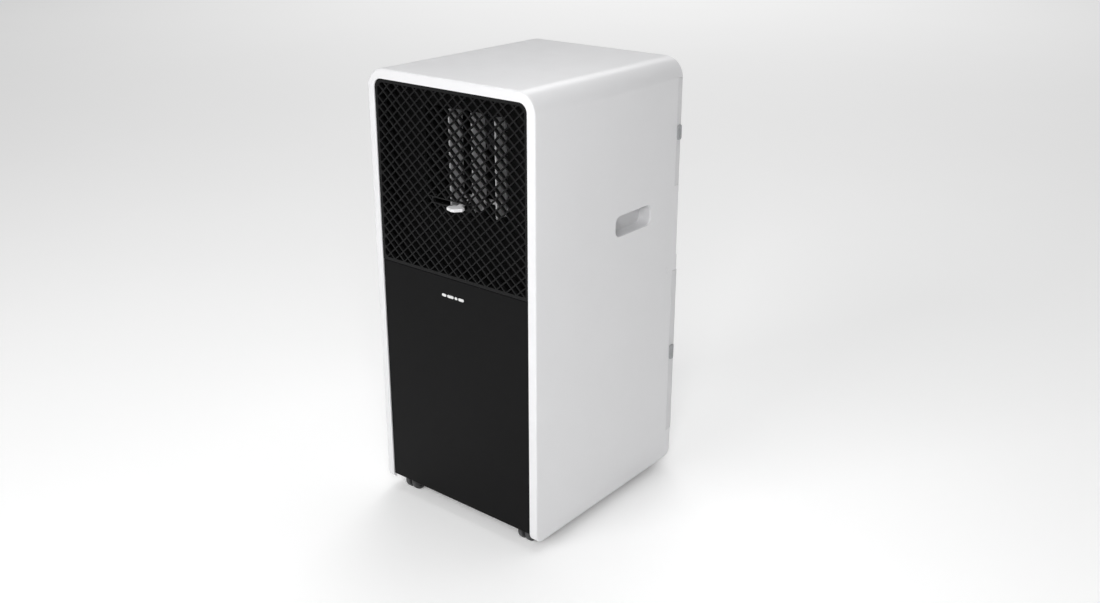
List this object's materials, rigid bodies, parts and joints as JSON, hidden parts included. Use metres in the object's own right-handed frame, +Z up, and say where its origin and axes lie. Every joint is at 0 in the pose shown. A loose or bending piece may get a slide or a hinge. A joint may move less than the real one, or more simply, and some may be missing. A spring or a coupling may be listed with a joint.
{
  "type": "portable dehumidifier",
  "caption": "Tall wheeled dehumidifier and cooler: wrap-around cabinet, diamond-mesh outlet with three linked vanes, side-pull filters, casters.",
  "frame": {"origin": "on the floor under the middle of the cabinet, where its four casters stand", "axes": "+Z up, the front grille faces -Y, the side with the filter tabs faces +X"},
  "size_m": [0.3224, 0.3825, 0.702],
  "materials": {
    "white_shell": "satin white ABS",
    "white_back": "satin white ABS, fine texture",
    "pocket_white": "satin white ABS",
    "grille_black": "moulded black, fine satin",
    "panel_black": "satin black with a fine grain",
    "badge_white": "satin pale print",
    "duct_black": "moulded black",
    "vane_grey": "moulded pale grey",
    "knob_grey": "moulded pale grey",
    "tab_grey": "moulded mid grey",
    "filter_white": "moulded white",
    "filter_mesh": "fine nylon mesh",
    "base_black": "moulded black",
    "caster_black": "moulded black",
    "caster_tread": "hard nylon",
    "screw_steel": "zinc plated",
    "inner_grey": "moulded grey",
    "fan_grey": "moulded dark grey",
    "motor_steel": "painted steel",
    "fins": "bare fin stock",
    "compressor_black": "black enamel",
    "copper": "drawn copper",
    "rubber": "moulded rubber",
    "galvanised": "galvanised sheet",
    "board": "laminate with parts",
    "capacitor": "drawn can",
    "rocker_black": "polished black"
  },
  "bodies": {
    "cabinet": {"wrap_shell": "white_shell", "handle_pockets": "pocket_white", "front_grille": "grille_black", "front_panel": "panel_black", "front_badge": "badge_white", "back_panel_upper": "white_back", "back_panel_lower": "white_back", "back_screws": "screw_steel", "outlet_duct": "duct_black", "blower_housing": "duct_black", "blower_motor": "motor_steel", "condenser_scroll": "inner_grey", "condenser_motor": "motor_steel", "exhaust_elbow": "inner_grey", "exhaust_collar": "inner_grey", "evaporator_coil": "fins", "condenser_coil": "fins", "deck_plate": "galvanised", "drip_tray": "inner_grey", "base_tray": "base_black", "caster_bushes": "inner_grey", "compressor": "compressor_black", "compressor_grommets": "rubber", "accumulator": "compressor_black", "copper_pipes": "copper", "filter_drier": "copper", "control_box": "galvanised", "circuit_board": "board", "run_capacitor": "capacitor", "touch_board": "board", "switch_body": "rocker_black", "cord_gland": "rubber", "drain_spout_upper": "inner_grey", "slinger_motor": "motor_steel"},
    "vane_left": {"vane_left": "vane_grey"},
    "vane_middle": {"vane_middle": "vane_grey", "vane_knob": "knob_grey"},
    "vane_right": {"vane_right": "vane_grey"},
    "vane_link": {"vane_link": "vane_grey"},
    "upper_filter": {"upper_filter_frame": "filter_white", "upper_filter_mesh": "filter_mesh", "upper_filter_tab": "tab_grey"},
    "lower_filter": {"lower_filter_frame": "filter_white", "lower_filter_mesh": "filter_mesh", "lower_filter_tab": "tab_grey"},
    "blower_wheel": {"blower_wheel": "fan_grey"},
    "condenser_wheel": {"condenser_wheel": "fan_grey"},
    "slinger_wheel": {"slinger_wheel": "fan_grey"},
    "float_arm": {"float_arm": "inner_grey"},
    "power_rocker": {"rocker": "rocker_black"},
    "drain_plug_upper": {"drain_plug_upper": "rubber"},
    "drain_plug_lower": {"drain_plug_lower": "rubber"},
    "fork_front_left": {"caster_fork_front_left": "caster_black"},
    "wheels_front_left": {"caster_wheels_front_left": "caster_tread"},
    "fork_front_right": {"caster_fork_front_right": "caster_black"},
    "wheels_front_right": {"caster_wheels_front_right": "caster_tread"},
    "fork_rear_left": {"caster_fork_rear_left": "caster_black"},
    "wheels_rear_left": {"caster_wheels_rear_left": "caster_tread"},
    "fork_rear_right": {"caster_fork_rear_right": "caster_black"},
    "wheels_rear_right": {"caster_wheels_rear_right": "caster_tread"}
  },
  "joints": [
    {"name": "vane_middle_turn", "type": "hinge", "parent": "cabinet", "child": "vane_middle", "pos_m": [0, -0.11, 0.52], "axis": [0, 0, 1], "range_deg": [-38, 6]},
    {"name": "vane_left_turn", "type": "hinge", "parent": "cabinet", "child": "vane_left", "pos_m": [-0.0448, -0.11, 0.52], "axis": [0, 0, 1], "range_deg": [-38, 6]},
    {"name": "vane_right_turn", "type": "hinge", "parent": "cabinet", "child": "vane_right", "pos_m": [0.0448, -0.11, 0.52], "axis": [0, 0, 1], "range_deg": [-38, 6]},
    {"name": "vane_link_swing", "type": "hinge", "parent": "vane_middle", "child": "vane_link", "pos_m": [-0.00248, -0.10135, 0.509], "axis": [0, 0, 1], "range_deg": [-6, 38]},
    {"name": "upper_filter_pull", "type": "slide", "parent": "cabinet", "child": "upper_filter", "axis": [1, 0, 0], "range_m": [0, 0.25]},
    {"name": "lower_filter_pull", "type": "slide", "parent": "cabinet", "child": "lower_filter", "axis": [1, 0, 0], "range_m": [0, 0.25]},
    {"name": "blower_spin", "type": "hinge", "parent": "cabinet", "child": "blower_wheel", "pos_m": [0, 0.03, 0.585], "axis": [1, 0, 0], "continuous": true},
    {"name": "condenser_fan_spin", "type": "hinge", "parent": "cabinet", "child": "condenser_wheel", "pos_m": [0.035, 0.09, 0.215], "axis": [0, 1, 0], "continuous": true},
    {"name": "slinger_spin", "type": "hinge", "parent": "cabinet", "child": "slinger_wheel", "pos_m": [-0.06, 0.125, 0.062], "axis": [0, 1, 0], "continuous": true},
    {"name": "float_lift", "type": "hinge", "parent": "cabinet", "child": "float_arm", "pos_m": [0.06, -0.04, 0.056], "axis": [-1, 0, 0], "range_deg": [0, 20]},
    {"name": "power_rocker_tip", "type": "hinge", "parent": "cabinet", "child": "power_rocker", "pos_m": [0.121, 0.169, 0.455], "axis": [-1, 0, 0], "range_deg": [0, 12]},
    {"name": "drain_plug_upper_pull", "type": "slide", "parent": "cabinet", "child": "drain_plug_upper", "axis": [0, 1, 0], "range_m": [0, 0.02]},
    {"name": "drain_plug_lower_pull", "type": "slide", "parent": "cabinet", "child": "drain_plug_lower", "axis": [0, 1, 0], "range_m": [0, 0.02]},
    {"name": "swivel_front_left", "type": "hinge", "parent": "cabinet", "child": "fork_front_left", "pos_m": [-0.122, -0.14, 0.05], "axis": [0, 0, 1], "continuous": true},
    {"name": "roll_front_left", "type": "hinge", "parent": "fork_front_left", "child": "wheels_front_left", "pos_m": [-0.122, -0.15, 0.017], "axis": [1, 0, 0], "continuous": true},
    {"name": "swivel_front_right", "type": "hinge", "parent": "cabinet", "child": "fork_front_right", "pos_m": [0.122, -0.14, 0.05], "axis": [0, 0, 1], "continuous": true},
    {"name": "roll_front_right", "type": "hinge", "parent": "fork_front_right", "child": "wheels_front_right", "pos_m": [0.122, -0.15, 0.017], "axis": [1, 0, 0], "continuous": true},
    {"name": "swivel_rear_left", "type": "hinge", "parent": "cabinet", "child": "fork_rear_left", "pos_m": [-0.122, 0.14, 0.05], "axis": [0, 0, 1], "continuous": true},
    {"name": "roll_rear_left", "type": "hinge", "parent": "fork_rear_left", "child": "wheels_rear_left", "pos_m": [-0.122, 0.15, 0.017], "axis": [1, 0, 0], "continuous": true},
    {"name": "swivel_rear_right", "type": "hinge", "parent": "cabinet", "child": "fork_rear_right", "pos_m": [0.122, 0.14, 0.05], "axis": [0, 0, 1], "continuous": true},
    {"name": "roll_rear_right", "type": "hinge", "parent": "fork_rear_right", "child": "wheels_rear_right", "pos_m": [0.122, 0.15, 0.017], "axis": [1, 0, 0], "continuous": true}
  ],
  "couplings": [
    {"joint": "vane_left_turn", "follows": "vane_middle_turn", "ratio": 1},
    {"joint": "vane_right_turn", "follows": "vane_middle_turn", "ratio": 1},
    {"joint": "vane_link_swing", "follows": "vane_middle_turn", "ratio": -1}
  ]
}
